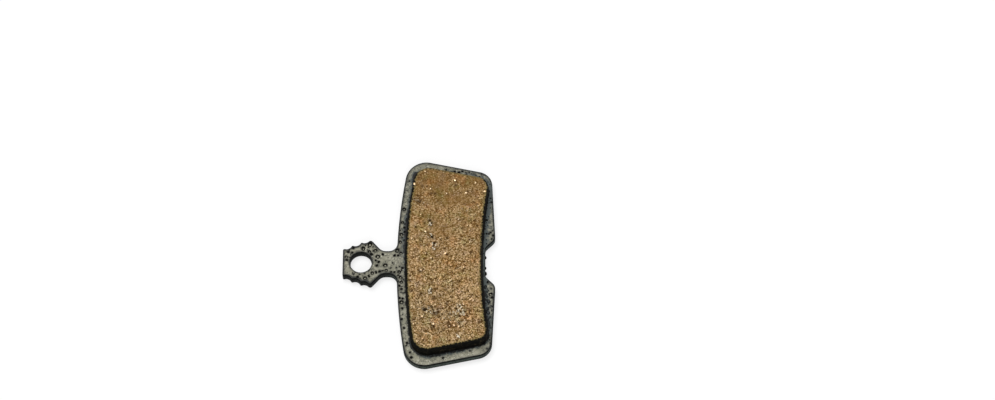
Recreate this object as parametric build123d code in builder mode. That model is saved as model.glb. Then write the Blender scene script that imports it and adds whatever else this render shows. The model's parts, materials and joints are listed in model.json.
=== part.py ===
"""Bicycle disc brake pad: a punched steel backing plate and the friction block moulded onto it.

The origin is on the axis of the retaining-pin hole, at the back face of the plate.
+X runs from the pin hole towards the rotor's axis, +Y along the pad, +Z out of the friction face.
"""
import os
from math import asin, cos, degrees, radians, sin, tan

from build123d import *

# Thickness of the two pieces, in millimetres
plate_thickness = 1.9
friction_thickness = 2.3

# Mounting tab: a head with the pin hole and scalloped flanks, widest at its shoulder, on a neck
pin_hole_diameter = 4.2
tab_end_distance = 3.45
tab_end_width = 5.9
shoulder_distance = 1.7
shoulder_width = 9.7
shoulder_run = 2.25
neck_width = 4.74
neck_length = 2.85
scallop_count = 3
scallop_depth = 0.48

# Body of the plate: an arc about the rotor's axis, two radial ends and a notched inner edge
plate_outer_radius = 106.2
plate_width = 18.7
plate_end_angle = 11.85
inner_edge_lean = 3.0
notch_depth = 1.9
notch_floor_width = 5.9
notch_side_angle = 46.0

# The punch draws the edge of the back face in and only breaks the front edge
back_edge_roll = 0.24
back_edge_drop = 0.14
front_edge_break = 0.12

# Rounding of the plate's outline, from the tab's end round to the notch
scallop_tip_flat = 0.05
shoulder_radius = 0.5
neck_radius = 1.7
neck_root_radius = 1.6
outer_corner_radius = 4.0
inner_corner_radius = 3.0
notch_mouth_radius = 1.5
notch_floor_radius = 1.0

# Friction block at its base, as the margins of bare plate left round it
friction_outer_margin = 1.55
friction_inner_margin = 0.45
friction_end_margin = 1.9
friction_outer_corner = 3.2
friction_inner_corner = 2.4
friction_draft = 6.0
friction_edge_break = 0.15

# Keying holes through the plate, set in from the block's edges, and the plugs that fill them
key_hole_diameter = 4.45
key_hole_outer_inset = 3.15
key_hole_inner_inset = 4.55
key_hole_end_inset = 4.3
key_hole_edge_break = 0.12
middle_plug_recess = 0.2
end_plug_recess = 0.45

# Places along the middle line that follow from these sizes
neck_distance = shoulder_distance + shoulder_run
plate_outer_distance = neck_distance + neck_length
rotor_axis_distance = plate_outer_distance + plate_outer_radius
inner_edge_distance = plate_outer_distance + plate_width
notch_floor_distance = inner_edge_distance - notch_depth


def rotor_point(radius, angle):
    """The point at a radius from the rotor's axis, at an angle from the pad's middle line."""
    offset = Vector(-cos(radians(angle)), sin(radians(angle))) * radius
    return Vector(rotor_axis_distance, 0) + offset


def rotor_arc(radius, start, end):
    """An arc about the rotor's axis from one angle to another, drawn into the open outline."""
    ThreePointArc(*[rotor_point(radius, angle) for angle in (start, (start + end) / 2, end)])


def corner_pair(sketch, corner):
    """The vertex of a sketch at an outline corner, and its mirror image across the middle line."""
    mirrored = Vector(corner.X, -corner.Y)
    return [sketch.vertices().sort_by_distance(place)[0] for place in (corner, mirrored)]


# Corners of one half of the plate's outline, from the tab's end to the notch
tab_end_corner = Vector(-tab_end_distance, tab_end_width / 2)
shoulder_corner = Vector(shoulder_distance, shoulder_width / 2)
scallop_chord = (shoulder_corner - tab_end_corner) / scallop_count
scallop_tips = [tab_end_corner + scallop_chord * index for index in range(scallop_count + 1)]
scallop_dip = Vector(scallop_chord.Y, -scallop_chord.X).normalized() * scallop_depth
scallop_tip_radius = back_edge_roll + scallop_tip_flat

neck_corner = Vector(neck_distance, neck_width / 2)
neck_root_angle = degrees(asin(neck_width / 2 / plate_outer_radius))
neck_root_corner = rotor_point(plate_outer_radius, neck_root_angle)
outer_corner = rotor_point(plate_outer_radius, plate_end_angle)

notch_floor_corner = Vector(notch_floor_distance, notch_floor_width / 2)
notch_side_rise = notch_depth / tan(radians(notch_side_angle))
notch_mouth_corner = notch_floor_corner + Vector(notch_depth, notch_side_rise)

# The inner edge leans back from the notch until it meets the plate's radial end
end_slope = tan(radians(plate_end_angle))
lean_slope = tan(radians(inner_edge_lean))
end_height_at_mouth = (rotor_axis_distance - notch_mouth_corner.X) * end_slope
inner_edge_rise = (end_height_at_mouth - notch_mouth_corner.Y) / (1 - lean_slope * end_slope)
inner_corner = notch_mouth_corner + Vector(-lean_slope, 1) * inner_edge_rise

# The block's arcs share the rotor's axis, and its ends run parallel to the plate's ends
block_outer_radius = plate_outer_radius - friction_outer_margin
block_inner_radius = rotor_axis_distance - notch_floor_distance + friction_inner_margin
block_outer_angle = plate_end_angle - degrees(asin(friction_end_margin / block_outer_radius))
block_inner_angle = plate_end_angle - degrees(asin(friction_end_margin / block_inner_radius))
block_outer_corner = rotor_point(block_outer_radius, block_outer_angle)
block_inner_corner = rotor_point(block_inner_radius, block_inner_angle)

# Two rings of four holes each, and one hole between them on the middle line
outer_ring_radius = block_outer_radius - key_hole_outer_inset
inner_ring_radius = block_inner_radius + key_hole_inner_inset
middle_ring_radius = (outer_ring_radius + inner_ring_radius) / 2
end_hole_reach = (friction_end_margin + key_hole_end_inset) / middle_ring_radius
end_hole_angle = plate_end_angle - degrees(asin(end_hole_reach))


def ring_points(angle):
    """The four places on the two rings at an angle to either side of the middle line."""
    radii = (outer_ring_radius, inner_ring_radius)
    return [rotor_point(radius, side * angle) for radius in radii for side in (-1, 1)]


middle_plug_points = ring_points(end_hole_angle / 2) + [rotor_point(middle_ring_radius, 0)]
end_plug_points = ring_points(end_hole_angle)

# Backing plate, punched from sheet steel and painted
with BuildPart() as backing_plate:
    with BuildSketch() as plate_outline:
        with BuildLine():
            Line((-tab_end_distance, 0), tab_end_corner)
            for tip, next_tip in zip(scallop_tips, scallop_tips[1:]):
                ThreePointArc(tip, (tip + next_tip) / 2 + scallop_dip, next_tip)
            Polyline(shoulder_corner, neck_corner, neck_root_corner)
            rotor_arc(plate_outer_radius, neck_root_angle, plate_end_angle)
            Polyline(outer_corner, inner_corner, notch_mouth_corner, notch_floor_corner)
            Line(notch_floor_corner, (notch_floor_distance, 0))
            mirror(about=Plane.XZ)
        make_face()
        for tip in scallop_tips[:-1]:
            fillet(corner_pair(plate_outline, tip), scallop_tip_radius)
        for corner, radius in (
            (shoulder_corner, shoulder_radius),
            (neck_corner, neck_radius),
            (neck_root_corner, neck_root_radius),
            (outer_corner, outer_corner_radius),
            (inner_corner, inner_corner_radius),
            (notch_mouth_corner, notch_mouth_radius),
            (notch_floor_corner, notch_floor_radius),
        ):
            fillet(corner_pair(plate_outline, corner), radius)
    extrude(amount=plate_thickness)
    back_face = backing_plate.faces().sort_by(Axis.Z)[0]
    chamfer(back_face.edges(), back_edge_roll, back_edge_drop, reference=back_face)
    chamfer(backing_plate.faces().sort_by(Axis.Z)[-1].edges(), front_edge_break)

    with BuildSketch():
        Circle(pin_hole_diameter / 2)
    extrude(amount=plate_thickness, mode=Mode.SUBTRACT)

    with BuildSketch():
        with Locations(middle_plug_points + end_plug_points):
            Circle(key_hole_diameter / 2)
    extrude(amount=plate_thickness, mode=Mode.SUBTRACT)
    key_hole_edges = backing_plate.edges(Select.LAST).filter_by(GeomType.CIRCLE)
    chamfer(key_hole_edges.group_by(Axis.Z)[0], key_hole_edge_break)

# Friction block, pressed onto the front face and into the keying holes in one moulding
with BuildPart() as friction_block:
    with BuildSketch(Plane.XY.offset(plate_thickness)) as block_outline:
        with BuildLine():
            rotor_arc(block_outer_radius, 0, block_outer_angle)
            Line(block_outer_corner, block_inner_corner)
            rotor_arc(block_inner_radius, block_inner_angle, 0)
            mirror(about=Plane.XZ)
        make_face()
        fillet(corner_pair(block_outline, block_outer_corner), friction_outer_corner)
        fillet(corner_pair(block_outline, block_inner_corner), friction_inner_corner)
    extrude(amount=friction_thickness)
    block_walls = friction_block.faces().filter_by(Axis.Z, reverse=True)
    draft(block_walls, Plane.XY.offset(plate_thickness), friction_draft)
    chamfer(friction_block.faces().sort_by(Axis.Z)[-1].edges(), friction_edge_break)

    for points, recess in (
        (middle_plug_points, middle_plug_recess),
        (end_plug_points, end_plug_recess),
    ):
        with BuildSketch(Plane.XY.offset(recess)):
            with Locations(points):
                Circle(key_hole_diameter / 2)
        extrude(amount=plate_thickness - recess)

os.makedirs("parts", exist_ok=True)
for name, piece in (("backing_plate", backing_plate), ("friction_block", friction_block)):
    piece.part.label = name
    export_step(piece.part, f"parts/{name}.step")
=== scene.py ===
import json
import random
from math import ceil, cos, exp, pi, radians, sin

import bmesh
import bpy
from mathutils import Matrix, Vector, noise
from mathutils.bvhtree import BVHTree
from mathutils.kdtree import KDTree


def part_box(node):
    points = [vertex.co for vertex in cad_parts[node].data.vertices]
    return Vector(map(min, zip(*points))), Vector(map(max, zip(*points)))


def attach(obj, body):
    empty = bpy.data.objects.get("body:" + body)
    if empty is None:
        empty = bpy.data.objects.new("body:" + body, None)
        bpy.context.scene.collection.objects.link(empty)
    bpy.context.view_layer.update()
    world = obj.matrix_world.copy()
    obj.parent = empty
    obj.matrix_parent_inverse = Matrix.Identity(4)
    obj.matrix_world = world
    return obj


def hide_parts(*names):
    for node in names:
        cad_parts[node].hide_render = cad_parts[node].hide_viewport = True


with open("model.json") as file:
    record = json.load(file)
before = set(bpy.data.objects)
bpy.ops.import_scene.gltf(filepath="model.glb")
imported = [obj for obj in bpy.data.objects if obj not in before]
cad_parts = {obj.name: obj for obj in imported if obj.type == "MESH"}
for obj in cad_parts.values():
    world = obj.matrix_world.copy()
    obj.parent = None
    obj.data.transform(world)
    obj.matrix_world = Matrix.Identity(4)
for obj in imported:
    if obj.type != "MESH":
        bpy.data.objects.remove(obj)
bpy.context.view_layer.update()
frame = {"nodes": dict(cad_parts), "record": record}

# Backing plate
# A blank of sheet steel, punched to its outline together with the pin hole and the nine keying holes.
# Its baked coat is olive grey and blistered on the front, smooth grey on the back and thin on the cut edges.
millimetre = 0.001


def colour(red, green, blue):
    """A colour as a screen shows it, from 0 to 255, in the linear numbers that a shader takes."""
    shares = [value / 255 for value in (red, green, blue)]
    return [s / 12.92 if s < 0.04045 else ((s + 0.055) / 1.055) ** 2.4 for s in shares] + [1.0]


def fill_sockets(tree, made, sockets):
    """Gives each named socket of a node its value, or links it."""
    for name, value in sockets.items():
        if isinstance(value, bpy.types.NodeSocket):
            tree.links.new(value, made.inputs[name])
        else:
            made.inputs[name].default_value = value
    return made.outputs


def add_node(tree, kind, sockets, **settings):
    """Places a shader node with its settings and sockets, and gives its outputs."""
    made = tree.nodes.new(kind)
    for name, value in settings.items():
        setattr(made, name, value)
    return fill_sockets(tree, made, sockets)


def add_math(tree, operation, *numbers):
    """Works out one number from others."""
    return add_node(tree, "ShaderNodeMath", dict(enumerate(numbers)), operation=operation)[0]


def add_effect(tree, group, sockets):
    """Places a node group with its own values, and gives its mask."""
    made = tree.nodes.new("ShaderNodeGroup")
    made.node_tree = group
    return fill_sockets(tree, made, sockets)["Mask"]


def add_layer(tree, mask, under, over, blend="MIX"):
    """Lays one colour over another where a mask is full."""
    sockets = {0: mask, 6: under, 7: over}
    return add_node(tree, "ShaderNodeMix", sockets, data_type="RGBA", blend_type=blend)[2]


def add_ramp(tree, factor, stops):
    """Turns a number into a colour, by stops that each have a place and a colour."""
    made = tree.nodes.new("ShaderNodeValToRGB")
    elements = made.color_ramp.elements
    while len(elements) < len(stops):
        elements.new(0.5)
    for element, (place, shade) in zip(elements, stops):
        element.position = place
        element.color = shade
    return fill_sockets(tree, made, {"Fac": factor})["Color"]


def add_bump(tree, shader, height, strength, depth):
    """Raises a shader's surface by a height pattern, to a depth in millimetres."""
    sockets = {"Height": height, "Strength": strength, "Distance": depth * millimetre}
    tree.links.new(add_node(tree, "ShaderNodeBump", sockets)["Normal"], shader["Normal"])


def per_metre(size):
    """A pattern's scale, from the size of its cells in millimetres."""
    return 1 / (size * millimetre)


def add_noise(tree, place, size, detail):
    """Plain noise, with clouds of a size in millimetres."""
    sockets = {"Vector": place, "Scale": per_metre(size), "Detail": detail}
    return add_node(tree, "ShaderNodeTexNoise", sockets)["Fac"]


def painted(tree, name):
    """The numbers painted on a piece's vertices under a name."""
    return add_node(tree, "ShaderNodeAttribute", {}, attribute_name=name)["Fac"]


def new_finish(name, roughness, specular):
    """A new material: itself, its node tree, its shader's sockets and the piece's own coordinates."""
    material = bpy.data.materials.new(name)
    material.use_nodes = True
    tree = material.node_tree
    shader = tree.nodes["Principled BSDF"].inputs
    shader["Roughness"].default_value = roughness
    shader["Specular IOR Level"].default_value = specular
    return material, tree, shader, add_node(tree, "ShaderNodeTexCoord", {})["Object"]


def new_group(name, numbers):
    """A node group that turns a place and some numbers into a mask."""
    tree = bpy.data.node_groups.new(name, "ShaderNodeTree")
    tree.interface.new_socket("Vector", in_out="INPUT", socket_type="NodeSocketVector")
    for number in numbers:
        tree.interface.new_socket(number, in_out="INPUT", socket_type="NodeSocketFloat")
    tree.interface.new_socket("Mask", in_out="OUTPUT", socket_type="NodeSocketFloat")
    given = tree.nodes.new("NodeGroupInput").outputs
    return tree, given, tree.nodes.new("NodeGroupOutput").inputs["Mask"]


def add_ripple(tree, place, scale):
    """Bends a pattern's coordinates by about a cell, so that its cells come out uneven."""
    cells_bent = 1.6
    waves = add_node(tree, "ShaderNodeTexNoise", {"Vector": place, "Scale": scale, "Detail": 2.0})["Color"]
    shift = add_node(tree, "ShaderNodeVectorMath", {0: waves, 1: (0.5, 0.5, 0.5)}, operation="SUBTRACT")[0]
    reach = add_math(tree, "DIVIDE", cells_bent, scale)
    shift = add_node(tree, "ShaderNodeVectorMath", {0: shift, "Scale": reach}, operation="SCALE")[0]
    return add_node(tree, "ShaderNodeVectorMath", {0: place, 1: shift}, operation="ADD")[0]


# Mottle: soft clouds, from none to full between two levels
mottle, given, mask = new_group("mottle", ("Scale", "Low", "High"))
clouds = add_node(mottle, "ShaderNodeTexNoise", {
    "Vector": given["Vector"], "Scale": given["Scale"], "Detail": 4.0, "Roughness": 0.6,
})
banded = add_node(mottle, "ShaderNodeMapRange", {
    "Value": clouds["Fac"], "From Min": given["Low"], "From Max": given["High"],
}, interpolation_type="SMOOTHSTEP")
mottle.links.new(banded["Result"], mask)

# Specks: uneven spots in a share of the cells of a random pattern
specks, given, mask = new_group("specks", ("Scale", "Share", "Size"))
cells = add_node(specks, "ShaderNodeTexVoronoi", {
    "Vector": add_ripple(specks, given["Vector"], given["Scale"]), "Scale": given["Scale"],
})
chosen = add_math(specks, "LESS_THAN", cells["Color"], given["Share"])
core_share = 0.4
core = add_math(specks, "MULTIPLY", given["Size"], core_share)
spot = add_node(specks, "ShaderNodeMapRange", {
    "Value": cells["Distance"], "From Min": given["Size"], "From Max": core,
}, interpolation_type="SMOOTHSTEP")["Result"]
specks.links.new(add_math(specks, "MULTIPLY", chosen, spot), mask)

# Grains: uneven cells, each with a random number of its own
grains, given, mask = new_group("grains", ("Scale",))
cells = add_node(grains, "ShaderNodeTexVoronoi", {
    "Vector": add_ripple(grains, given["Vector"], given["Scale"]), "Scale": given["Scale"],
})
shade = add_node(grains, "ShaderNodeSeparateColor", {"Color": cells["Color"]})
grains.links.new(shade["Red"], mask)

# Ragged edge: full at an outline and gone at a reach from it that wanders
ragged_edge, given, mask = new_group("ragged_edge", ("Distance", "Reach", "Wander", "Scale"))
wander = add_node(ragged_edge, "ShaderNodeTexNoise", {
    "Vector": given["Vector"], "Scale": given["Scale"], "Detail": 3.0,
})
shift = add_math(ragged_edge, "SUBTRACT", wander["Fac"], 0.5)
moved = add_math(ragged_edge, "MULTIPLY_ADD", shift, given["Wander"], given["Distance"])
faded = add_node(ragged_edge, "ShaderNodeMapRange", {
    "Value": moved, "From Min": given["Reach"], "From Max": 0.0,
}, interpolation_type="SMOOTHSTEP")
ragged_edge.links.new(faded["Result"], mask)

# Sizes of the plate in millimetres, the angles of its edges, and how finely it and its coat are cut
plate_low, plate_high = [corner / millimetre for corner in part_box("backing_plate")]
plate_front = plate_high.z
plate_edge_softness = 0.04
sharp_angle, plate_crease = radians(25), radians(28)
plate_slice = 0.5
coat_slice = 0.25
hole_radius = frame["record"]["mounts"][0]["dims"]["r_mm"]
coat_in_hole = 0.10

# Points this near count as one or as touching, and a face that looks this far up or down counts as flat
tolerance = 0.001
touching = 0.01
flat_enough = 0.95

# Front coat: olive grey and gritty, darker where it blistered, with painted shade along its edge, and with
# resin flash and painted shade round the block's foot
front_coat, tree, shader, place = new_finish("front_coat", roughness=0.6, specular=0.3)
clouded = add_effect(tree, mottle, {"Vector": place, "Scale": per_metre(1.6), "Low": 0.35, "High": 0.68})
base = add_layer(tree, clouded, colour(129, 127, 109), colour(153, 150, 132))
grit = add_effect(tree, specks, {"Vector": place, "Scale": per_metre(0.32), "Share": 0.35, "Size": 0.5})
base = add_layer(tree, grit, base, colour(58, 57, 47))
grit = add_effect(tree, specks, {"Vector": place, "Scale": per_metre(0.38), "Share": 0.32, "Size": 0.45})
base = add_layer(tree, grit, base, colour(186, 184, 168))
folds = add_math(tree, "SUBTRACT", add_noise(tree, place, size=0.85, detail=2.0), 0.5)
folds = add_math(tree, "ABSOLUTE", folds)
folds = add_node(tree, "ShaderNodeMapRange", {
    "Value": folds, "From Min": 0.04, "From Max": 0.0, "To Max": 0.8,
})["Result"]
base = add_layer(tree, folds, base, colour(62, 62, 53))
scorch = add_effect(tree, mottle, {"Vector": place, "Scale": per_metre(0.55), "Low": 0.47, "High": 0.58})
scorch = add_math(tree, "MULTIPLY", scorch, painted(tree, "scorch"))
base = add_layer(tree, scorch, base, colour(42, 46, 42))
base = add_layer(tree, painted(tree, "stain"), base, colour(26, 27, 22))
# Painted shade along the rounded front edges
edge_shade = add_effect(tree, ragged_edge, {
    "Vector": place, "Distance": painted(tree, "edge"), "Reach": 0.46, "Wander": 0.3, "Scale": per_metre(1.1),
})
base = add_layer(tree, edge_shade, base, colour(27, 30, 27))
# Painted highlight along the front edge that faces the near end
base = add_layer(tree, painted(tree, "bright"), base, colour(176, 174, 160))
# Resin film and flash round the block's foot, each darkened further as painted shade
film_and_foot_shade = add_effect(tree, ragged_edge, {
    "Vector": place, "Distance": painted(tree, "film_and_foot_shade"),
    "Reach": 0.62, "Wander": 1.5, "Scale": per_metre(0.6),
})
base = add_layer(tree, film_and_foot_shade, base, colour(74, 81, 79))
flash_and_foot_shade = add_effect(tree, ragged_edge, {
    "Vector": place, "Distance": painted(tree, "flash_and_foot_shade"),
    "Reach": 0.30, "Wander": 1.4, "Scale": per_metre(0.55),
})
base = add_layer(tree, flash_and_foot_shade, base, colour(10, 11, 8))
tree.links.new(base, shader["Base Color"])
add_bump(tree, shader, add_noise(tree, place, size=0.4, detail=3.0), strength=0.5, depth=0.10)

# Cut edge: sheared steel under a thin green-black coat, with the punch's bright band half-way up
cut_edge, tree, shader, place = new_finish("cut_edge", roughness=0.6, specular=0.04)
upright = add_node(tree, "ShaderNodeMapping", {"Vector": place, "Scale": (1.0, 1.0, 0.15)})["Vector"]
height = add_node(tree, "ShaderNodeSeparateXYZ", {"Vector": place})["Z"]
height = add_node(tree, "ShaderNodeMapRange", {
    "Value": height, "From Max": plate_front * millimetre,
})["Result"]
waver_share = 0.3
height = add_math(tree, "MULTIPLY_ADD", add_noise(tree, upright, size=0.9, detail=3.0), waver_share, height)
base = add_ramp(tree, height, (
    (0.15, colour(10, 12, 10)), (0.36, colour(26, 32, 28)), (0.55, colour(66, 75, 69)),
    (0.80, colour(60, 68, 63)), (0.95, colour(10, 12, 10)),
))
streaks = add_effect(tree, mottle, {"Vector": upright, "Scale": per_metre(0.4), "Low": 0.45, "High": 0.75})
base = add_layer(tree, streaks, base, colour(24, 29, 25))
chips = add_effect(tree, specks, {"Vector": place, "Scale": per_metre(0.66), "Share": 0.08, "Size": 0.25})
base = add_layer(tree, chips, base, colour(92, 94, 86))
# Painted shade: the cut walls of the tab and its pin hole, which face away from the light, are darkened
tab_wall_shade_share = 0.85
tab_wall_shade = add_math(tree, "MULTIPLY", painted(tree, "tab_wall_shade"), tab_wall_shade_share)
base = add_layer(tree, tab_wall_shade, base, colour(10, 11, 9))
tree.links.new(base, shader["Base Color"])
add_bump(tree, shader, add_noise(tree, upright, size=0.2, detail=2.0), strength=0.4, depth=0.06)

# Back coat: the same powder where it lay smooth, neutral grey with an orange-peel skin
back_coat, tree, shader, place = new_finish("back_coat", roughness=0.45, specular=0.4)
clouded = add_effect(tree, mottle, {"Vector": place, "Scale": per_metre(3.8), "Low": 0.3, "High": 0.72})
base = add_layer(tree, clouded, colour(164, 164, 162), colour(188, 188, 186))
peel = add_effect(tree, mottle, {"Vector": place, "Scale": per_metre(0.42), "Low": 0.34, "High": 0.64})
base = add_layer(tree, peel, colour(154, 154, 152), base)
pinholes = add_effect(tree, specks, {"Vector": place, "Scale": per_metre(0.8), "Share": 0.10, "Size": 0.2})
base = add_layer(tree, pinholes, base, colour(92, 92, 90))
# Painted shade along the rolled back edges and round the keying holes
edge_shade = add_effect(tree, ragged_edge, {
    "Vector": place, "Distance": painted(tree, "edge"), "Reach": 0.50, "Wander": 0.5, "Scale": per_metre(0.7),
})
base = add_layer(tree, edge_shade, base, colour(74, 75, 73))
tree.links.new(base, shader["Base Color"])
add_bump(tree, shader, peel, strength=0.6, depth=0.08)

# Burst blister: the steep wall of a bubble in the coat, scorched nearly black
burst_blister, tree, shader, place = new_finish("burst_blister", roughness=0.7, specular=0.1)
scorched = add_effect(tree, mottle, {"Vector": place, "Scale": per_metre(0.5), "Low": 0.35, "High": 0.7})
base = add_layer(tree, scorched, colour(7, 7, 5), colour(22, 22, 17))
tree.links.new(base, shader["Base Color"])


def node_shape(node):
    """A CAD node's form in millimetres, with its loose triangles merged and its flat faces made whole."""
    shape = bmesh.new()
    shape.from_mesh(node.data)
    shape.transform(Matrix.Scale(1 / millimetre, 4))
    bmesh.ops.remove_doubles(shape, verts=shape.verts, dist=tolerance)
    bmesh.ops.dissolve_limit(shape, angle_limit=radians(0.4), verts=shape.verts, edges=shape.edges)
    return shape


def slice_shape(shape, axis, spacing, facing=-1.0):
    """Cuts the faces that look up enough, all along an axis, finely enough for relief and stains."""
    faces = [face for face in shape.faces if face.normal.z >= facing]
    edges = dict.fromkeys(edge for face in faces for edge in face.edges)
    verts = dict.fromkeys(vertex for face in faces for vertex in face.verts)
    places = [vertex.co.dot(axis) for vertex in verts]
    parts = [*verts, *edges, *faces]
    for step in range(ceil(min(places) / spacing), ceil(max(places) / spacing)):
        plane = {"plane_co": axis * (step * spacing), "plane_no": axis}
        parts = bmesh.ops.bisect_plane(shape, geom=parts, dist=tolerance / 2, **plane)["geom"]


def tree_of(points):
    """A search tree that finds the nearest of some points."""
    tree = KDTree(len(points))
    for index, point in enumerate(points):
        tree.insert(point, index)
    tree.balance()
    return tree


def shown_object(shape, name, finishes):
    """A new object in the scene that holds a form and its finishes."""
    mesh = bpy.data.meshes.new(name)
    shape.to_mesh(mesh)
    shape.free()
    for finish in finishes:
        mesh.materials.append(finish)
    made = bpy.data.objects.new(name, mesh)
    bpy.context.scene.collection.objects.link(made)
    return made


def join_form(body, tool, operation):
    """Adds a tool's form to a body or cuts it out, each face with its own finish, and takes the tool away."""
    step = body.modifiers.new(operation, "BOOLEAN")
    step.operation = operation
    step.object = tool
    step.solver = "EXACT"
    step.material_mode = "TRANSFER"
    graph = bpy.context.evaluated_depsgraph_get()
    joined = bpy.data.meshes.new_from_object(body.evaluated_get(graph))
    body.modifiers.clear()
    body.data = joined
    bpy.data.objects.remove(tool)


def paint(mesh, name, values):
    """Stores one number for each vertex, for a material to read."""
    mesh.attributes.new(name, "FLOAT", "POINT").data.foreach_set("value", values)


def ramped(value, low, high):
    """How far a value has come from a low one to a high one, from 0 to 1."""
    return min(1.0, max(0.0, (value - low) / (high - low)))


def hump(x, y, centre_x, centre_y, reach_x, reach_y):
    """A soft hump: 1 at its centre, and nearly gone at twice its reach."""
    return exp(-((x - centre_x) / reach_x) ** 2 - ((y - centre_y) / reach_y) ** 2)


def edge_of(shape, side):
    """The edges of a form's flat top (side 1) or bottom (-1): a tree of their points, and how each faces."""
    points, facing = [], []
    for vertex in shape.verts:
        steep = [face.normal for face in vertex.link_faces if face.normal.z * side < flat_enough]
        if 0 < len(steep) < len(vertex.link_faces):
            points.append(vertex.co.copy())
            facing.append(sum(steep, Vector()).normalized())
    return tree_of(points), facing


plate_shape = node_shape(frame["nodes"]["backing_plate"])
sharp_edges = [edge for edge in plate_shape.edges if edge.calc_face_angle(0) > sharp_angle]
bmesh.ops.bevel(
    plate_shape, geom=sharp_edges, offset=plate_edge_softness, affect="EDGES",
    segments=2, profile=0.5, material=-1,
)
for axis in (Vector((1, 0, 0)), Vector((0, 1, 0)), Vector((0, 0, 1))):
    slice_shape(plate_shape, axis, plate_slice)
    if axis.z == 0:
        slice_shape(plate_shape, axis, coat_slice, facing=flat_enough)
bmesh.ops.recalc_face_normals(plate_shape, faces=plate_shape.faces)

# The coat gathered in the lower part of the pin hole
for vertex in plate_shape.verts:
    gathered = ramped(vertex.co.z, 0.05, 0.3) * ramped(vertex.co.z, plate_front - 0.2, plate_front - 1.2)
    if vertex.co.xy.length < hole_radius + touching:
        vertex.co.xy *= 1 - gathered * coat_in_hole / hole_radius
front_finish, edge_finish, back_finish = 0, 1, 2
for face in plate_shape.faces:
    if face.normal.z > flat_enough:
        face.material_index = front_finish
    elif face.normal.z < -flat_enough:
        face.material_index = back_finish
    else:
        face.material_index = edge_finish

plate_tree = BVHTree.FromBMesh(plate_shape)
block_tree = BVHTree.FromBMesh(node_shape(frame["nodes"]["friction_block"]))
front_edge, front_facing = edge_of(plate_shape, 1)
back_edge, _ = edge_of(plate_shape, -1)

# Blisters that stand out on the tab, the neck and the margins: place and radius
plain_blisters = (
    (1.66, 3.70, 0.50), (2.67, 2.44, 0.40), (3.20, 1.20, 0.42), (1.55, 2.20, 0.28), (1.98, 1.64, 0.27),
    (0.44, 2.85, 0.44), (-0.62, 3.20, 0.32), (-2.68, 0.46, 0.26), (4.62, -0.60, 0.40), (4.82, -1.70, 0.28),
    (3.40, 0.05, 0.26), (3.02, -0.68, 0.26), (4.12, 1.62, 0.26), (6.85, 2.45, 0.44), (6.40, 1.40, 0.26),
    (7.58, 1.91, 0.28), (7.62, 5.76, 0.38), (7.42, 4.20, 0.28), (7.60, -3.12, 0.36), (7.90, -1.19, 0.24),
    (7.72, -4.08, 0.32), (7.46, -7.36, 0.22), (7.82, -8.18, 0.38), (0.85, -3.26, 0.34), (2.20, -2.23, 0.32),
    (1.58, -2.84, 0.25), (2.91, -2.12, 0.26), (3.57, -1.92, 0.24), (5.75, -2.00, 0.19), (-0.56, -3.05, 0.25),
    (-2.45, 2.12, 0.24), (8.97, -16.50, 0.24), (9.56, -18.41, 0.18),
    (15.73, -19.51, 0.20), (20.76, -18.11, 0.17), (8.79, -17.02, 0.16), (8.37, -13.47, 0.20),
    (18.49, 18.86, 0.26), (19.16, 19.07, 0.18), (21.19, 17.60, 0.20), (16.00, 19.42, 0.16),
    (19.88, 18.32, 0.22),
)

# Where the coat boiled: centre, reach in x and in y, how thick blisters stand there and how far it scorched
boiled_fields = (
    (-1.0, 2.0, 4.0, 3.5, 0.50, 0.06),
    (-0.5, -3.0, 3.0, 1.0, 0.35, 0.15),
    (3.2, -0.4, 1.3, 1.2, 0.40, 0.10),
    (4.4, -2.0, 2.0, 0.6, 0.90, 0.20),
    (7.8, 5.5, 1.6, 4.5, 0.90, 0.80),
    (8.4, 15.0, 1.4, 4.5, 0.08, 0.90),
    (7.8, -6.0, 1.6, 5.0, 0.90, 0.20),
    (24.0, -9.5, 1.6, 6.0, 1.10, 1.30),
    (23.9, 8.5, 1.6, 6.5, 0.55, 1.00),
    (20.0, 18.4, 4.5, 1.4, 0.70, 1.00),
    (24.0, 15.0, 1.4, 2.8, 0.30, 1.00),
)
thinnest_boiling = 0.02

# Blisters: how many are tried, the room between them, and their sizes, widths as shares of the radius
blister_tries = 5200
blister_gap = 0.08
least_radius, radius_range = 0.10, 0.26
least_depth, depth_share = 0.10, 0.40
blister_sides = 10
floor_width, rim_width, lip_width = 0.44, 0.86, 1.34
blister_flare = 0.05
blister_wobble = 0.12
open_floor_radius = 0.27
stain_reach = 0.10


def boiling(x, y):
    """How thick blisters stand at a place on the front, and how far the coat there is scorched."""
    thick, scorched = thinnest_boiling, 0.0
    for *field, blister_share, scorch_share in boiled_fields:
        near = hump(x, y, *field)
        thick += blister_share * near
        scorched += scorch_share * near
    return thick, min(1.0, scorched)


def coat_is_open(x, y, reach):
    """True where a round of the front is clear of the plate's edges and of the friction block."""
    down = Vector((0, 0, -1))
    high_above = 10
    for eighth in range(8):
        turn = eighth * pi / 4
        place = Vector((x + reach * cos(turn), y + reach * sin(turn), high_above))
        landing, facing, _, _ = plate_tree.ray_cast(place, down)
        if landing is None or facing.z < flat_enough or block_tree.ray_cast(place, down)[0]:
            return False
    return front_edge.find((x, y, plate_front))[2] > reach


blisters = []


def add_blister(x, y, radius, clearance):
    """Notes a blister if it stands clear of the others, of the plate's edges and of the friction block."""
    apart = all(
        (x - other_x) ** 2 + (y - other_y) ** 2 > (radius + other_radius + blister_gap) ** 2
        for other_x, other_y, other_radius in blisters
    )
    if apart and coat_is_open(x, y, radius * clearance):
        blisters.append((x, y, radius))


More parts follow.
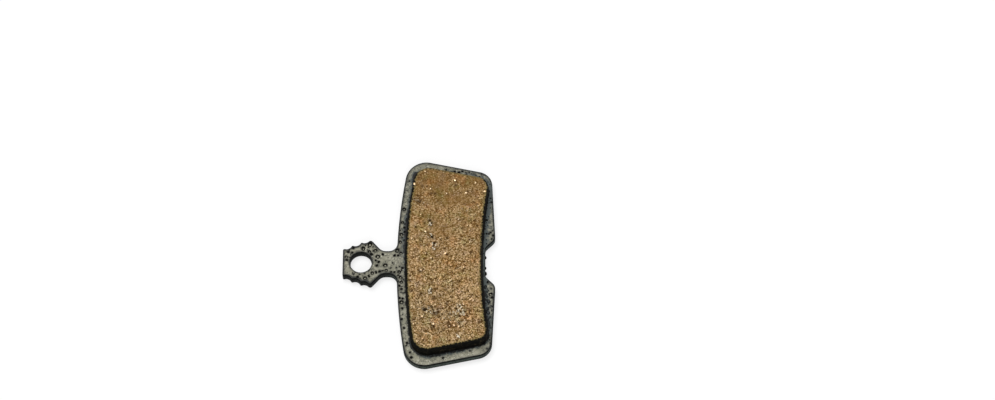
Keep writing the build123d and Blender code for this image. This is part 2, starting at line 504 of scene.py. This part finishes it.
for x, y, radius in plain_blisters:
    add_blister(x, y, radius, clearance=1.0)
seed = 11
dice = random.Random(seed)
noise.seed_set(seed)
for _ in range(blister_tries):
    x = dice.uniform(plate_low.x, plate_high.x)
    y = dice.uniform(plate_low.y, plate_high.y)
    radius = least_radius + radius_range * dice.random() ** 2.0
    if dice.random() < boiling(x, y)[0]:
        add_blister(x, y, radius, clearance=1.2)

# A blister is a bubble that burst: steep black walls round a floor, which the coat still lines if it is wide
burst_finish, lined_finish = 0, 1
blister_tool = bmesh.new()
for x, y, radius in blisters:
    turn = Matrix.Rotation(dice.uniform(0, pi), 4, "Z")
    squash = Matrix.Diagonal((1, dice.uniform(0.75, 1.0), 1, 1))
    depth = least_depth + depth_share * radius
    place = Matrix.Translation((x, y, plate_front)) @ turn @ squash
    made = bmesh.ops.create_circle(
        blister_tool, cap_ends=True, segments=blister_sides, radius=radius * floor_width,
        matrix=place @ Matrix.Translation((0, 0, -depth)),
    )
    blister_verts = made["verts"]
    floor_face = blister_verts[0].link_faces[0]
    floor_face.material_index = lined_finish if radius > open_floor_radius else burst_finish
    top_edges = list(floor_face.edges)
    width_below = floor_width
    for width, level in ((rim_width, -blister_flare), (lip_width, blister_flare)):
        wall = bmesh.ops.extrude_edge_only(blister_tool, edges=top_edges)["geom"]
        wall_verts = [part for part in wall if isinstance(part, bmesh.types.BMVert)]
        top_edges = [part for part in wall if isinstance(part, bmesh.types.BMEdge)]
        for face in wall:
            if isinstance(face, bmesh.types.BMFace):
                face.material_index = burst_finish
        for vertex in wall_verts:
            vertex.co.xy = Vector((x, y)) + (vertex.co.xy - Vector((x, y))) * width / width_below
            vertex.co.z = plate_front + level
        width_below = width
        blister_verts = blister_verts + wall_verts
    bmesh.ops.contextual_create(blister_tool, geom=top_edges)
    for vertex in blister_verts:
        vertex.co.xy += noise.noise_vector(vertex.co * 2.3).xy * blister_wobble * radius
bmesh.ops.recalc_face_normals(blister_tool, faces=blister_tool.faces)

# Beads of compound that squeezed out and stuck on the notch floor: height along it, radius and level
notch_beads = ((1.2, 0.26, 1.25), (-0.95, 0.24, 1.20), (-2.05, 0.34, 1.10))
notch_floor = 23.6
bead_shape = Matrix.Diagonal((0.9, 1.2, 1.4, 1))
bead_tool = bmesh.new()
for y, radius, level in notch_beads:
    place = Matrix.Translation((notch_floor, y, level)) @ bead_shape
    bmesh.ops.create_icosphere(bead_tool, subdivisions=2, radius=radius, matrix=place)

backing_plate = shown_object(plate_shape, "dressed_backing_plate", (front_coat, cut_edge, back_coat))
join_form(backing_plate, shown_object(bead_tool, "notch_beads", (burst_blister,)), "UNION")
join_form(backing_plate, shown_object(blister_tool, "blisters", (burst_blister, front_coat)), "DIFFERENCE")

plate_mesh = backing_plate.data
blister_tree = tree_of([(x, y, plate_front) for x, y, _ in blisters])
coat_values = {"edge": [], "bright": [], "film_and_foot_shade": [], "flash_and_foot_shade": [], "scorch": [], "stain": [], "tab_wall_shade": []}
for vertex in plate_mesh.vertices:
    x, y, _ = vertex.co
    # Stretches of the block's outline, along which its resin crept out onto the plate more or less, and
    # painted shade darkens the plate at the block's foot
    near_end = ramped(-y, 13, 17) * ramped(x, 23, 18.5)
    near_outer_side = ramped(x, 12, 10) * ramped(-y, 1, 5)
    far_outer_side = ramped(x, 12, 10) * ramped(y, 0.5, 2.5) * ramped(y, 12, 9)
    inner_side = ramped(x, 18, 20) * ramped(-y, 4.5, 6.5) * ramped(-y, 15, 12.5)
    far_inner_side = ramped(x, 18, 20) * ramped(y, -6, -4)
    far_corner = hump(x, y, 10.0, 18.4, 0.9, 1.1)
    far_end = ramped(y, 15, 17)
    spill_and_shade = 0.22 * near_end + 1.00 * far_corner - 0.08
    from_block = block_tree.find_nearest(vertex.co)[3] - spill_and_shade
    film_and_shade_spread = 0.45 * inner_side + 0.55 * far_inner_side + 0.15 * far_end - 0.45 * near_outer_side
    film_and_shade_spread += 0.15 * near_end + 0.35 * far_outer_side
    flash_and_shade_spread = 0.08 * near_end + 0.10 * inner_side - 0.50 * far_inner_side + 0.30 * far_outer_side
    coat_values["film_and_foot_shade"].append(from_block - film_and_shade_spread)
    coat_values["flash_and_foot_shade"].append(from_block - flash_and_shade_spread)
    # The edge that faces the near end gets a painted highlight in place of its painted shade, and that shade
    # is widest on the scalloped flanks of the tab
    _, edge_point, from_edge = front_edge.find(vertex.co)
    edge_highlight = ramped(-front_facing[edge_point].y, 0.3, 0.8) * ramped(x, 6.5, 8)
    flank = ramped(x, 3.0, 2.0) * ramped(abs(y), 2.4, 2.9)
    from_front_edge = from_edge + 0.4 * edge_highlight - 0.16 * flank
    coat_values["edge"].append(min(from_front_edge, back_edge.find(vertex.co)[2]))
    coat_values["bright"].append(0.65 * edge_highlight * ramped(from_edge, 0.2, 0.0))
    # Painted shade on the tab's cut walls
    coat_values["tab_wall_shade"].append(ramped(x, 6.5, 4.5))
    # The coat is scorched in the boiled fields and stained round each blister
    _, nearest, away = blister_tree.find((x, y, plate_front))
    radius = blisters[nearest][2]
    past_rim = max(0.0, away - radius) / stain_reach
    coat_values["scorch"].append(boiling(x, y)[1])
    coat_values["stain"].append(exp(-past_rim ** 2) if away > radius * 0.9 else 0.0)
for name, values in coat_values.items():
    paint(plate_mesh, name, values)
plate_mesh.transform(Matrix.Scale(millimetre, 4))
plate_mesh.shade_smooth()
plate_mesh.set_sharp_from_angle(angle=plate_crease)
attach(backing_plate, "root")
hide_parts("backing_plate")

# Friction block
# A hard cake of resin, mineral grit and brass chips, pressed hot onto the plate and into its keying holes.
# The face is ground flat and open-grained, the moulded sides are black, and nine plug ends show in the back.

# Friction face: golden tan grit of many shades, brown pores deepened with painted shade, pale crystals, and
# black where the sides begin
friction_face, tree, shader, place = new_finish("friction_face", roughness=0.85, specular=0.12)
grit = add_effect(tree, grains, {"Vector": place, "Scale": per_metre(0.19)})
base = add_ramp(tree, grit, (
    (0.0, colour(48, 21, 0)), (0.22, colour(110, 80, 39)), (0.5, colour(156, 125, 81)),
    (0.8, colour(187, 156, 111)), (1.0, colour(236, 204, 157)),
))
# Towards the far end the face is darker and flatter: its grain is closed there, with painted shade as well
closed_and_shaded_share = 0.65
closed_and_shaded = add_math(tree, "SUBTRACT", 1.0, painted(tree, "open"))
closed_and_shaded = add_math(tree, "POWER", closed_and_shaded, 2.5)
closed_and_shaded = add_math(tree, "MULTIPLY", closed_and_shaded, closed_and_shaded_share)
base = add_layer(tree, closed_and_shaded, base, colour(120, 88, 42))
pits = add_effect(tree, specks, {"Vector": place, "Scale": per_metre(0.42), "Share": 0.11, "Size": 0.4})
base = add_layer(tree, pits, base, colour(74, 46, 12))
flecks = add_effect(tree, specks, {"Vector": place, "Scale": per_metre(1.0), "Share": 0.11, "Size": 0.34})
base = add_layer(tree, flecks, base, colour(90, 62, 24))
tan = colour(150, 122, 84)
for size, shade, aside in (
    (2.4, colour(158, 115, 71), 0.11), (2.8, colour(136, 124, 76), 0.29), (2.0, colour(142, 117, 90), 0.47),
):
    moved = {"Vector": place, "Location": (aside, aside, 0.0)}
    shifted = add_node(tree, "ShaderNodeMapping", moved)["Vector"]
    patch = add_effect(tree, mottle, {"Vector": shifted, "Scale": per_metre(size), "Low": 0.48, "High": 0.78})
    tint = [part / whole for part, whole in zip(shade, tan)]
    base = add_layer(tree, patch, base, tint, "MULTIPLY")
bleach = [part / whole for part, whole in zip(colour(143, 119, 84), tan)]
base = add_layer(tree, painted(tree, "bleached"), base, bleach, "MULTIPLY")
# Painted shade in the pores and pits, by how deep they are
base = add_layer(tree, painted(tree, "pore"), base, colour(62, 38, 10))
gold = add_effect(tree, specks, {"Vector": place, "Scale": per_metre(0.62), "Share": 0.05, "Size": 0.24})
base = add_layer(tree, gold, base, colour(226, 192, 140))
# Crystals show where the grain is open, on the last patch's shifted places, so that they miss the pits
crystal = add_effect(tree, specks, {"Vector": shifted, "Scale": per_metre(0.42), "Share": 0.16, "Size": 0.34})
crystal = add_math(tree, "MULTIPLY", crystal, painted(tree, "open"))
base = add_layer(tree, crystal, base, colour(210, 185, 142))
dull_share = 0.15
dull = add_math(tree, "MULTIPLY", painted(tree, "ash"), dull_share)
base = add_layer(tree, dull, base, colour(116, 106, 84))
ash = add_effect(tree, specks, {"Vector": place, "Scale": per_metre(0.46), "Share": 0.38, "Size": 0.55})
ash = add_math(tree, "MULTIPLY", ash, painted(tree, "ash"))
base = add_layer(tree, ash, base, colour(252, 234, 200))
fringe = add_effect(tree, ragged_edge, {
    "Vector": place, "Distance": painted(tree, "rim"), "Reach": 0.55, "Wander": 0.6, "Scale": per_metre(0.8),
})
base = add_layer(tree, fringe, base, colour(132, 117, 74))
marks = add_effect(tree, specks, {"Vector": place, "Scale": per_metre(0.5), "Share": 0.5, "Size": 0.5})
ground_edge = add_effect(tree, ragged_edge, {
    "Vector": place, "Distance": painted(tree, "rim"), "Reach": 0.60, "Wander": 0.5, "Scale": per_metre(0.5),
})
marks = add_math(tree, "MULTIPLY", marks, ground_edge)
base = add_layer(tree, marks, base, colour(34, 27, 14))
base = add_layer(tree, painted(tree, "soot"), base, colour(32, 20, 4))
charred = add_effect(tree, ragged_edge, {
    "Vector": place, "Distance": painted(tree, "rim"), "Reach": 0.26, "Wander": 0.9, "Scale": per_metre(0.34),
})
base = add_layer(tree, charred, base, colour(12, 11, 7))
tree.links.new(base, shader["Base Color"])
add_bump(tree, shader, grit, strength=0.9, depth=0.13)

# Moulded side: black resin skin with a little grit showing
moulded_side, tree, shader, place = new_finish("moulded_side", roughness=0.8, specular=0.06)
grit = add_effect(tree, grains, {"Vector": place, "Scale": per_metre(0.24)})
base = add_ramp(tree, grit, (
    (0.0, colour(3, 3, 2)), (0.6, colour(16, 15, 11)), (0.9, colour(34, 30, 22)), (1.0, colour(64, 56, 40)),
))
skin = add_effect(tree, mottle, {"Vector": place, "Scale": per_metre(1.1), "Low": 0.32, "High": 0.62})
base = add_layer(tree, skin, colour(7, 7, 5), base)
tree.links.new(base, shader["Base Color"])
add_bump(tree, shader, grit, strength=0.8, depth=0.1)

# Plug end: compound that the mould pressed nearly flush, grey with dust and rough where it broke
plug_end, tree, shader, place = new_finish("plug_end", roughness=0.8, specular=0.15)
dusty = add_effect(tree, mottle, {"Vector": place, "Scale": per_metre(0.9), "Low": 0.35, "High": 0.65})
base = add_layer(tree, dusty, colour(136, 136, 133), colour(176, 176, 173))
cracks = add_effect(tree, specks, {"Vector": place, "Scale": per_metre(0.45), "Share": 0.28, "Size": 0.42})
base = add_layer(tree, cracks, base, colour(66, 65, 62))
gritty = add_effect(tree, mottle, {"Vector": place, "Scale": per_metre(0.5), "Low": 0.4, "High": 0.66})
bare = add_layer(tree, gritty, colour(30, 29, 27), colour(92, 91, 87))
base = add_layer(tree, painted(tree, "broken"), base, bare)
tree.links.new(base, shader["Base Color"])
add_bump(tree, shader, gritty, strength=0.7, depth=0.12)

# Brass chip: a grain that the grinding cut through, coloured pale as a painted glint
brass_chip_painted_glint, tree, shader, place = new_finish("brass_chip_painted_glint", roughness=0.35, specular=0.5)
shader["Metallic"].default_value = 0.35
tarnish = add_effect(tree, mottle, {"Vector": place, "Scale": per_metre(0.3), "Low": 0.4, "High": 0.65})
base = add_layer(tree, tarnish, colour(255, 234, 194), colour(238, 186, 122))
tree.links.new(base, shader["Base Color"])

# Pale flake: a splinter of white mineral filler
pale_flake, tree, shader, place = new_finish("pale_flake", roughness=0.8, specular=0.2)
streaky = add_effect(tree, mottle, {"Vector": place, "Scale": per_metre(0.25), "Low": 0.4, "High": 0.65})
base = add_layer(tree, streaky, colour(230, 219, 196), colour(176, 161, 132))
tree.links.new(base, shader["Base Color"])

# Set resin: the dark drops that squeezed out at the foot, glossier than the moulded sides, with lighter
# grey-blue patches as painted highlights
set_resin, tree, shader, place = new_finish("set_resin", roughness=0.45, specular=0.3)
painted_sheen = add_effect(tree, mottle, {"Vector": place, "Scale": per_metre(0.3), "Low": 0.4, "High": 0.65})
base = add_layer(tree, painted_sheen, colour(8, 9, 8), colour(44, 51, 52))
tree.links.new(base, shader["Base Color"])

# Sizes of the block, its relief and the crust on its plugs in millimetres, and the angle of its edges
face_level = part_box("friction_block")[1].z / millimetre
block_crease = radians(40)
inside_plate = plate_front - 0.2
face_slice = 0.16
wall_slice = 0.35
pit_cell, pit_depth = 0.95, 0.14
pore_cell, pore_depth = 0.45, 0.07
chip_stand = 0.03
edge_crumble = 0.28
crust_thickness = 0.16
deep_plug = 0.3

# Pits that stand out on the face: place, radius and how black with soot
deep_pits = (
    (12.26, -10.65, 0.42, 0.9), (13.63, -10.10, 0.20, 0.8), (13.83, -10.67, 0.20, 0.7),
    (16.44, -9.56, 0.22, 0.5), (14.07, -8.29, 0.46, 0.1), (14.40, -11.34, 0.62, 0.2),
    (16.85, -13.81, 0.66, 0.1), (13.86, -14.21, 0.42, 0.1), (11.49, -2.71, 0.46, 0.1),
    (11.54, -7.52, 0.46, 0.0), (19.66, -2.20, 0.34, 0.1), (22.63, -13.14, 0.42, 0.0),
    (12.43, 14.89, 0.20, 0.3), (17.87, 15.10, 0.30, 0.1), (10.69, 12.99, 0.26, 0.2),
    (11.01, 11.84, 0.46, 0.2), (22.10, 6.60, 0.22, 0.2), (13.48, 4.30, 0.30, 1.0),
    (13.08, 7.75, 0.24, 0.9), (13.45, 7.20, 0.20, 0.8), (13.96, 3.00, 0.32, 0.7),
    (13.72, 2.40, 0.18, 0.8), (10.36, 6.29, 0.26, 0.1), (15.78, 1.93, 0.26, 0.0),
    (16.55, 0.69, 0.26, 0.1), (12.90, -6.95, 0.18, 0.7), (18.20, -10.40, 0.20, 0.7),
    (19.00, -11.05, 0.20, 0.8), (18.70, -11.95, 0.22, 0.6), (19.90, -11.10, 0.18, 0.5),
)

# Brass chips on the face, by place and radius
chip_places = (
    (10.03, 15.37, 0.28), (21.60, 15.63, 0.30), (17.77, 16.16, 0.22), (19.89, 13.52, 0.24),
    (12.25, 5.46, 0.24), (15.01, 4.10, 0.19), (15.98, 1.00, 0.32), (9.60, 4.00, 0.22),
    (13.35, -0.04, 0.16), (11.49, -2.51, 0.20), (16.97, -4.66, 0.18), (20.74, -8.54, 0.23),
    (17.78, -13.81, 0.24), (11.78, -11.99, 0.22), (10.90, -17.00, 0.20), (23.48, 13.84, 0.27),
    (12.02, 18.02, 0.16), (16.20, 13.40, 0.18), (13.10, 14.40, 0.14), (13.90, -13.50, 0.22),
    (12.30, 0.90, 0.12), (18.00, 8.20, 0.11), (20.60, 3.10, 0.11), (17.10, -1.60, 0.12),
)

# Where ash and soot lie on the face: place, reach, share of ash and share of soot
ash_spots = (
    (13.08, 7.23, 0.7, 1.0, 0.9), (13.49, 4.21, 0.6, 1.0, 1.0), (13.89, 2.34, 0.8, 1.0, 0.8),
    (13.23, -6.91, 0.7, 1.0, 0.8), (12.33, -10.57, 0.6, 0.6, 1.0), (13.64, -10.77, 0.8, 0.9, 1.0),
    (18.88, -10.77, 1.3, 1.0, 0.9), (16.46, -11.79, 1.0, 0.6, 0.9), (18.73, -16.02, 0.5, 0.9, 0.0),
    (11.13, 11.52, 1.2, 0.4, 0.3), (19.91, 9.42, 1.4, 0.35, 0.2), (15.16, -13.20, 1.0, 0.1, 0.6),
)

# Pale flakes in the face, by place and radius
flake_places = (
    (18.54, -16.02, 0.26), (18.36, -15.72, 0.18), (18.80, -16.20, 0.15), (19.07, -10.16, 0.22),
    (19.45, -11.18, 0.24), (18.85, -9.70, 0.16), (19.35, -10.70, 0.17), (18.60, -10.70, 0.18),
    (18.95, -11.50, 0.20), (19.65, -11.70, 0.18), (18.10, -11.60, 0.16), (17.60, -11.20, 0.15),
    (13.11, -6.75, 0.22), (13.40, -7.25, 0.16), (13.05, -7.35, 0.15), (13.30, -6.35, 0.18),
    (13.20, 4.95, 0.22), (13.40, 4.65, 0.15), (13.95, 1.80, 0.22), (13.65, 2.05, 0.17),
    (14.15, 2.50, 0.16), (13.60, 2.95, 0.15), (12.70, -10.95, 0.17), (13.35, -11.20, 0.16),
    (13.05, 7.15, 0.20), (13.30, 6.80, 0.17), (12.85, 6.85, 0.14),
)

# All chips and flakes with their finish, and small chips scattered over most of the face
block_finishes = (friction_face, moulded_side, plug_end, brass_chip_painted_glint, pale_flake, set_resin)
face_finish, side_finish, plug_finish, chip_finish, flake_finish, lump_finish = range(6)
small_chip_count = 18
chips = [(x, y, radius, chip_finish) for x, y, radius in chip_places]
chips += [(x, y, radius, flake_finish) for x, y, radius in flake_places]
for _ in range(small_chip_count):
    x = dice.uniform(9.8, 22.4)
    y = dice.uniform(-16.5, 11.0)
    chips.append((x, y, dice.uniform(0.10, 0.15), chip_finish))


def bowl(spot, cell, share, width):
    """How deep a place lies in a pore: full in the middle of a chosen cell and none outside its bowl."""
    gaps, centres = noise.voronoi(spot / cell)
    chosen = (noise.cell(centres[0] * 7.3) + 1) / 2 < share
    return max(0.0, 1 - (gaps[0] / width) ** 2) if chosen else 0.0


def openness(spot):
    """How open the grain of the face is: closed towards one end, open towards the other."""
    return ramped(ramped(spot.y, 15.0, -11.0) + 0.30 * noise.noise(spot * 0.35), 0.0, 1.0)


block_shape = node_shape(frame["nodes"]["friction_block"])
faces_down = [face for face in block_shape.faces if face.normal.z < -flat_enough]
plug_ends = [face for face in faces_down if face.calc_center_median().z < inside_plate]
plug_middles = [face.calc_center_median() for face in plug_ends]
plug_radius = (plug_ends[0].verts[0].co - plug_middles[0]).length
plug_tree = tree_of(plug_middles)

# The base lies on the plate and isn't seen: it is left out of the slicing and filled again
base_faces = [face for face in faces_down if abs(face.calc_center_median().z - plate_front) < touching]
bmesh.ops.delete(block_shape, geom=base_faces, context="FACES")
for axis, spacing in (
    (Vector((1, 0, 0)), face_slice), (Vector((0, 1, 0)), face_slice), (Vector((0, 0, 1)), wall_slice),
):
    slice_shape(block_shape, axis, spacing)
open_edges = [edge for edge in block_shape.edges if edge.is_boundary]
bmesh.ops.triangle_fill(block_shape, edges=open_edges, use_beauty=True)
bmesh.ops.recalc_face_normals(block_shape, faces=block_shape.faces)
tilted_enough = 0.3
for face in block_shape.faces:
    level = face.calc_center_median().z
    if level > plate_front and face.normal.z > tilted_enough:
        face.material_index = face_finish
    elif level < inside_plate and face.normal.z < -tilted_enough:
        face.material_index = plug_finish
    else:
        face.material_index = side_finish

# Each chip has a small pit beside it, towards the near end and the inner side, darkened as the chip's painted
# shadow
chip_shadow_aside, chip_shadow_reach = 0.22, 0.26
chip_shadow_tree = tree_of([(x + chip_shadow_aside, y - chip_shadow_aside, face_level) for x, y, _, _ in chips])
face_edge, edge_facing = edge_of(block_shape, 1)
face_values = {"pore": [], "open": [], "bleached": [], "ash": [], "soot": [], "rim": [], "broken": []}
for vertex in block_shape.verts:
    spot = vertex.co.copy()
    _, nearest, rim = face_edge.find(spot)
    facing = edge_facing[nearest]
    # The grinding ran over the edge at the far end and along the far half of the inner side
    ground_over = max(ramped(facing.y, 0.35, 0.6), ramped(facing.x, 0.6, 0.8) * ramped(spot.y, -3, 1))
    # Grains broke out of the edge here and there
    brittle = noise.noise(spot * 1.7) + 0.6 * noise.noise(spot * 4.3)
    crumbled = ramped(brittle, 0.15, 0.7) * ramped(rim, 0.4, 0.05)
    pore = ash = soot = openly = bleached = broken = 0.0
    if spot.z > face_level - tolerance:
        openly = openness(spot)
        bleached = hump(spot.x, spot.y, 12.5, -12.0, 4.5, 6.0)
        pit = bowl(spot, pit_cell, share=0.10 + 0.12 * openly, width=0.42)
        pore = bowl(spot + Vector((5, 3, 0)), pore_cell, share=0.08 + 0.20 * openly, width=0.55)
        chip_shadow = max(0.0, 1 - (chip_shadow_tree.find(spot)[2] / chip_shadow_reach) ** 2)
        pit = max(pit, chip_shadow)
        ragged = max(0.3, 1 + 0.7 * noise.noise(spot * 2.4) + 0.5 * noise.noise(spot * 5.7))
        for x, y, radius, black in deep_pits:
            away = ((spot.x - x) ** 2 + (spot.y - y) ** 2) ** 0.5 / (radius * ragged)
            sunk = ramped(away, 1.25, 0.6)
            pit = max(pit, sunk)
            soot = max(soot, sunk * black)
        vertex.co.z -= chip_stand + pit_depth * pit + pore_depth * pore + edge_crumble * crumbled
        # The pores and pits take painted shade by how deep they lie
        pore = min(1.0, 0.75 * pit + 0.6 * pore)
        speckle = ramped(noise.noise(spot * 2.3), 0.16, 0.28)
        for x, y, reach, ash_share, soot_share in ash_spots:
            near = hump(spot.x, spot.y, x, y, reach, reach)
            ash = max(ash, near * ash_share)
            soot = max(soot, near * soot_share * speckle)
        # Black creeps in from the sides, most at the near part of the inner side and where the edge broke,
        # and least where the grinding ran over
        rim += 0.15 * ground_over
        rim -= 0.16 * hump(spot.x, spot.y, 23.0, -12.0, 2.0, 6.0) + 0.2 * crumbled
    elif spot.z > plate_front + touching:
        rim = -rim + 0.4 * ground_over
    elif spot.z < inside_plate and any(face.normal.z < -flat_enough for face in vertex.link_faces):
        # Paint crusted over the plugs and broke away round them, and over most of the four at the ends
        middle, _, _ = plug_tree.find(spot)
        from_middle = (spot - middle).xy.length / plug_radius
        from_middle += 0.35 * noise.noise(spot * 1.1)
        from_middle += 0.15 * noise.noise(spot * 3.0)
        broken_from, broken_to = (0.20, 0.45) if middle.z > deep_plug else (0.78, 0.95)
        broken = ramped(from_middle, broken_from, broken_to)
        vertex.co.z += crust_thickness * (broken - 0.5 + 0.4 * noise.noise(spot * 2.6))
    for name, value in zip(face_values, (pore, openly, bleached, ash, soot, rim, broken)):
        face_values[name].append(value)


def leave_unpainted(count):
    """Notes no painted numbers for vertices that are new in the block."""
    for values in face_values.values():
        values.extend([0.0] * count)


# Each chip is a squat crystal sunk in the face, with its top level with the face or a little under it
chip_squat = Matrix.Diagonal((1.15, 0.85, 0.5, 1))
chip_sink, unevenness = 0.40, 0.25
for x, y, radius, finish in chips:
    turn = Matrix.Rotation(dice.uniform(0, pi), 4, "Z") @ Matrix.Rotation(dice.uniform(-0.3, 0.3), 4, "X")
    place = Matrix.Translation((x, y, face_level - chip_sink * radius)) @ turn @ chip_squat
    made = bmesh.ops.create_icosphere(block_shape, subdivisions=1, radius=radius, matrix=place)
    for vertex in made["verts"]:
        vertex.co += noise.noise_vector(vertex.co * 5.0) * unevenness * radius
        vertex.co.z = min(vertex.co.z, face_level)
        for face in vertex.link_faces:
            face.material_index = finish
    leave_unpainted(len(made["verts"]))

# Resin squeezed out at the foot of the block and set in lumps, the largest along half of its inner side
lump_count = 170
lump_squat = Matrix.Diagonal((1.2, 0.9, 0.55, 1))
past_plug = plug_radius + 0.1
foot_places = []
for vertex in block_shape.verts:
    from_plug = (plug_tree.find(vertex.co)[0] - vertex.co).xy.length
    if abs(vertex.co.z - plate_front) < tolerance and from_plug > past_plug:
        outward = sum((face.normal for face in vertex.link_faces if abs(face.normal.z) < 0.5), Vector())
        foot_places.append((vertex.co.copy(), outward.normalized()))
for _ in range(lump_count):
    spot, outward = dice.choice(foot_places)
    heavy = ramped(spot.x, 18, 20) * ramped(-spot.y, 2, 5) * ramped(-spot.y, 16, 13.5)
    radius = dice.uniform(0.08, 0.16) + heavy * dice.uniform(0.05, 0.28)
    turn = Matrix.Rotation(dice.uniform(0, pi), 4, "Z")
    spot = spot + outward * (0.5 * radius + heavy * dice.uniform(0.0, 0.5))
    place = Matrix.Translation(spot) @ turn @ lump_squat
    rounds = 2 if heavy > 0.3 else 1
    made = bmesh.ops.create_icosphere(block_shape, subdivisions=rounds, radius=radius, matrix=place)
    for vertex in made["verts"]:
        vertex.co += noise.noise_vector(vertex.co * 3.0) * unevenness * radius
        for face in vertex.link_faces:
            face.material_index = lump_finish
    leave_unpainted(len(made["verts"]))

# A curl of brass wire that the grinding laid bare
curl_centre = Vector((12.82, -16.28, face_level - 0.07))
curl_radius, wire_radius = 0.85, 0.07
curl_start, curl_turn = radians(-15), radians(140)
wire_sides, curl_steps = 6, 10
known_verts, known_faces = len(block_shape.verts), len(block_shape.faces)
start = Matrix.Translation(curl_centre) @ Matrix.Rotation(curl_start, 4, "Z")
start = start @ Matrix.Translation((curl_radius, 0, 0)) @ Matrix.Rotation(pi / 2, 4, "X")
made = bmesh.ops.create_circle(
    block_shape, cap_ends=True, segments=wire_sides, radius=wire_radius, matrix=start,
)
wire_end = made["verts"][0].link_faces[0]
bmesh.ops.spin(
    block_shape, geom=[*wire_end.verts, *wire_end.edges, wire_end], cent=curl_centre, axis=(0, 0, 1),
    angle=curl_turn, steps=curl_steps,
)
curl_faces = list(block_shape.faces)[known_faces:]
bmesh.ops.recalc_face_normals(block_shape, faces=curl_faces)
for face in curl_faces:
    face.material_index = chip_finish
leave_unpainted(len(block_shape.verts) - known_verts)

friction_block = shown_object(block_shape, "dressed_friction_block", block_finishes)
block_mesh = friction_block.data
for name, values in face_values.items():
    paint(block_mesh, name, values)
block_mesh.transform(Matrix.Scale(millimetre, 4))
block_mesh.shade_smooth()
block_mesh.set_sharp_from_angle(angle=block_crease)
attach(friction_block, "root")
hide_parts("friction_block")

# Floor
# A plain white sheet that the pad lies on, so pale that only the pad's soft shadow shows on it.
paper = bpy.data.materials.new("paper")
paper.use_nodes = True
tree = paper.node_tree
tree.nodes.clear()
sheet = add_node(tree, "ShaderNodeBsdfDiffuse", {"Color": (0.95, 0.95, 0.95, 1.0)})["BSDF"]
glow = add_node(tree, "ShaderNodeEmission", {"Color": (1.0, 1.0, 1.0, 1.0), "Strength": 1.0})["Emission"]
ray = add_node(tree, "ShaderNodeLightPath", {})
direct = add_math(tree, "ADD", ray["Is Camera Ray"], ray["Is Glossy Ray"])
direct = add_node(tree, "ShaderNodeMath", {
    0: direct, 1: ray["Is Transmission Ray"],
}, operation="ADD", use_clamp=True)[0]
glow_share = 0.7
glowing = add_math(tree, "MULTIPLY", direct, glow_share)
mixed = add_node(tree, "ShaderNodeMixShader", {0: glowing, 1: sheet, 2: glow})["Shader"]
add_node(tree, "ShaderNodeOutputMaterial", {"Surface": mixed})

floor_reach = 4.0
floor_shape = bmesh.new()
bmesh.ops.create_grid(floor_shape, x_segments=1, y_segments=1, size=floor_reach)
floor = shown_object(floor_shape, "floor", (paper,))

# Light and camera
# A large soft lamp behind and to the left, a weak one in front, white surroundings, and a long lens.
world = bpy.data.worlds.new("white_room")
bpy.context.scene.world = world
world.use_nodes = True
fill_sockets(world.node_tree, world.node_tree.nodes["Background"], {
    "Color": (1.0, 1.0, 1.0, 1.0), "Strength": 0.30,
})

pad_middle = Vector((0.0110, 0.0, 0.0020))
for name, place, size, power in (
    ("key_lamp", (-0.22, 0.36, 1.25), 0.80, 13.0),
    ("front_lamp", (0.20, -0.95, 0.90), 0.70, 5.0),
):
    light = bpy.data.lights.new(name, "AREA")
    light.shape = "DISK"
    light.size = size
    light.energy = power
    lamp = bpy.data.objects.new(name, light)
    lamp.location = place
    lamp.rotation_euler = (pad_middle - Vector(place)).to_track_quat("-Z", "Y").to_euler()
    bpy.context.scene.collection.objects.link(lamp)

view_point = Vector((0.02590, 0.01390, 0.0))
view_distance = 0.5315
view_elevation = radians(65)
lens = bpy.data.cameras.new("camera")
lens.lens = 100.0
lens.sensor_width = 36.0
camera = bpy.data.objects.new("camera", lens)
camera.location = view_point + view_distance * Vector((0, -cos(view_elevation), sin(view_elevation)))
camera.rotation_euler = (pi / 2 - view_elevation, 0, 0)
bpy.context.scene.collection.objects.link(camera)
bpy.context.scene.camera = camera
bpy.context.scene.view_settings.view_transform = "Standard"
